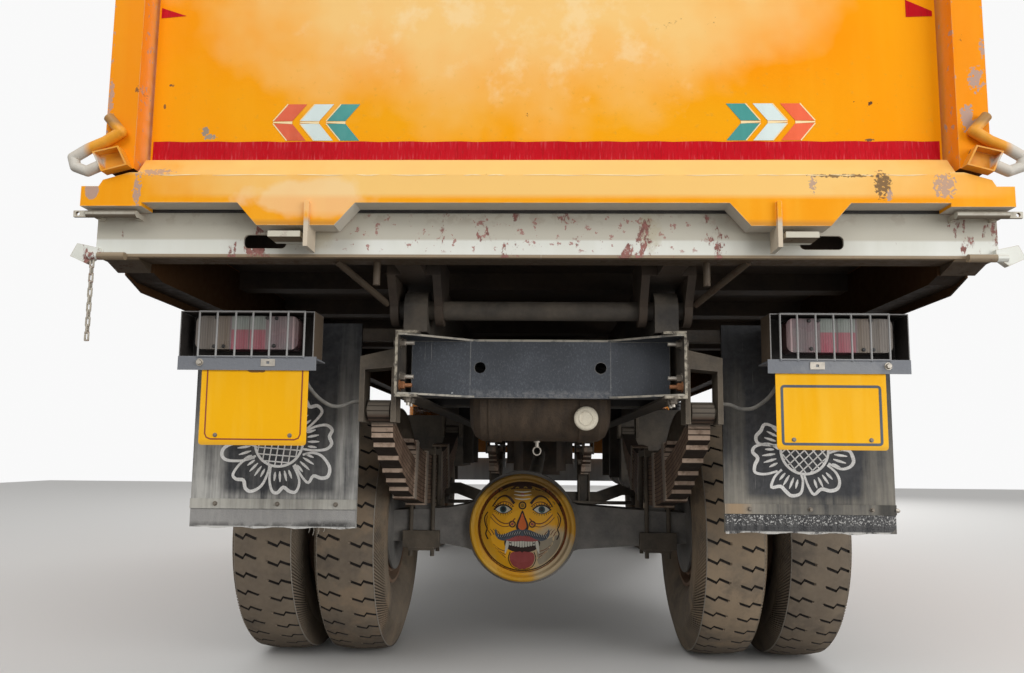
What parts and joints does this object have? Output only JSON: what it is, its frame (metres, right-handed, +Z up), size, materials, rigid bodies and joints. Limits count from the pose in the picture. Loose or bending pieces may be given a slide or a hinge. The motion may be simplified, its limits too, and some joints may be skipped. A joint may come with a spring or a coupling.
{
  "type": "tipper truck",
  "caption": "Rear-tipping truck with cab, ladder frame, leaf springs, twin rear wheels, hydraulic lift and a steel bed with top-hung tailgate.",
  "frame": {"origin": "on the ground, under the middle of the length and width (bounding box bottom centre)", "axes": "+Y towards the front, +X to the truck's right, +Z up; the bed down, wheels straight, doors shut"},
  "size_m": [2.66, 6.28, 2.702],
  "materials": {
    "bed_paint": "chalky orange-yellow paint, chipped",
    "rail_paint": "worn yellow paint with rust at the edges",
    "sill_paint": "grey-white paint, dusty, with rust streaks",
    "chassis": "black-brown chassis paint under road dust",
    "spring_steel": "rusty spring steel",
    "cover_paint": "yellow paint",
    "engine": "oily cast iron",
    "cylinder_paint": "dark paint",
    "rod_chrome": "polished hard chrome",
    "fittings": "grey dusty paint",
    "lens": "faded red lens",
    "lamp_glass": "clear lamp glass",
    "flap_rubber": "black-grey rubber sheet",
    "lead_black": "black sheathed cable",
    "tyre": "dusty tyre rubber",
    "rim": "dusty painted steel",
    "cab_paint": "orange-yellow enamel",
    "glass": "clear glass",
    "bumper_paint": "black paint",
    "trim": "dark grained plastic",
    "seat_cloth": "woven seat cover"
  },
  "bodies": {
    "chassis": {"frame_rails": "chassis", "crossmembers": "chassis", "subframe": "chassis", "leaf_springs": "spring_steel", "spring_mounts": "spring_steel", "rear_axle": "chassis", "diff_cover": "cover_paint", "prop_shaft": "chassis", "air_tank": "chassis", "engine": "engine", "radiator": "chassis", "front_axle": "chassis", "fuel_tank": "chassis", "battery_box": "chassis", "lamp_boxes": "fittings", "tail_lamps": "lens", "bracket_arms": "fittings", "mud_flaps": "flap_rubber", "lamp_leads": "lead_black", "bumper": "bumper_paint", "headlamps": "lamp_glass", "grille": "bumper_paint", "mirrors": "bumper_paint", "seats": "seat_cloth", "front_mudguards": "bumper_paint", "cab_roof": "cab_paint", "cab_front": "cab_paint", "cab_rear": "cab_paint", "cab_sides": "cab_paint", "cab_glass": "glass", "cab_floor": "cab_paint", "dashboard": "trim"},
    "bed": {"bed_floor": "bed_paint", "bed_sides": "bed_paint", "bed_headboard": "bed_paint", "rear_sill": "sill_paint", "lock_handles": "rail_paint"},
    "tailgate": {"tailgate_panel": "bed_paint", "tailgate_rail": "rail_paint"},
    "cylinder": {"cylinder_barrel": "cylinder_paint"},
    "ram": {"cylinder_rod": "rod_chrome"},
    "rear_wheels_left": {"rear_tyres_left": "tyre", "rear_rims_left": "rim"},
    "rear_wheels_right": {"rear_tyres_right": "tyre", "rear_rims_right": "rim"},
    "steer_knuckle_left": {"knuckle_left": "chassis"},
    "steer_knuckle_right": {"knuckle_right": "chassis"},
    "front_wheel_left": {"front_tyre_left": "tyre", "front_rim_left": "rim"},
    "front_wheel_right": {"front_tyre_right": "tyre", "front_rim_right": "rim"},
    "track_link": {"track_rod": "chassis"},
    "cab_door_left": {"door_left": "cab_paint", "door_glass_left": "glass"},
    "cab_door_right": {"door_right": "cab_paint", "door_glass_right": "glass"}
  },
  "joints": [
    {"name": "bed_tip", "type": "hinge", "parent": "chassis", "child": "bed", "pos_m": [0, -2.75, 1.287], "axis": [1, 0, 0], "range_deg": [0, 48]},
    {"name": "tailgate_swing", "type": "hinge", "parent": "bed", "child": "tailgate", "pos_m": [0, -3.023, 2.6], "axis": [-1, 0, 0], "range_deg": [0, 80]},
    {"name": "cylinder_swing", "type": "hinge", "parent": "chassis", "child": "cylinder", "pos_m": [0, -1.75, 1.087], "axis": [1, 0, 0], "range_deg": [0, 64]},
    {"name": "ram_slide", "type": "slide", "parent": "cylinder", "child": "ram", "axis": [0, 0.9832, 0.1826], "range_m": [0, 0.6764]},
    {"name": "steer_right", "type": "hinge", "parent": "chassis", "child": "steer_knuckle_right", "pos_m": [0.85, 1.89, 0.525], "axis": [0, 0, 1], "range_deg": [-30, 30]},
    {"name": "steer_left", "type": "hinge", "parent": "chassis", "child": "steer_knuckle_left", "pos_m": [-0.85, 1.89, 0.525], "axis": [0, 0, 1], "range_deg": [-30, 30]},
    {"name": "track_rod_pin", "type": "hinge", "parent": "steer_knuckle_right", "child": "track_link", "pos_m": [0.85, 1.74, 0.4117], "axis": [0, 0, 1], "range_deg": [-30, 30]},
    {"name": "front_wheel_right_spin", "type": "hinge", "parent": "steer_knuckle_right", "child": "front_wheel_right", "pos_m": [0.975, 1.89, 0.525], "axis": [1, 0, 0], "continuous": true},
    {"name": "front_wheel_left_spin", "type": "hinge", "parent": "steer_knuckle_left", "child": "front_wheel_left", "pos_m": [-0.975, 1.89, 0.525], "axis": [1, 0, 0], "continuous": true},
    {"name": "rear_wheels_right_spin", "type": "hinge", "parent": "chassis", "child": "rear_wheels_right", "pos_m": [0.901, -1.71, 0.525], "axis": [1, 0, 0], "continuous": true},
    {"name": "rear_wheels_left_spin", "type": "hinge", "parent": "chassis", "child": "rear_wheels_left", "pos_m": [-0.901, -1.71, 0.525], "axis": [1, 0, 0], "continuous": true},
    {"name": "door_right_swing", "type": "hinge", "parent": "chassis", "child": "cab_door_right", "pos_m": [1.174, 2.854, 1.8], "axis": [0, 0, 1], "range_deg": [0, 65]},
    {"name": "door_left_swing", "type": "hinge", "parent": "chassis", "child": "cab_door_left", "pos_m": [-1.174, 2.854, 1.8], "axis": [0, 0, -1], "range_deg": [0, 65]}
  ],
  "couplings": [
    {"joint": "cylinder_swing", "follows": "bed_tip", "ratio": 1.3328},
    {"joint": "ram_slide", "follows": "bed_tip", "m_per_rad": 0.80711},
    {"joint": "steer_left", "follows": "steer_right", "ratio": 1},
    {"joint": "track_rod_pin", "follows": "steer_right", "ratio": -1}
  ]
}
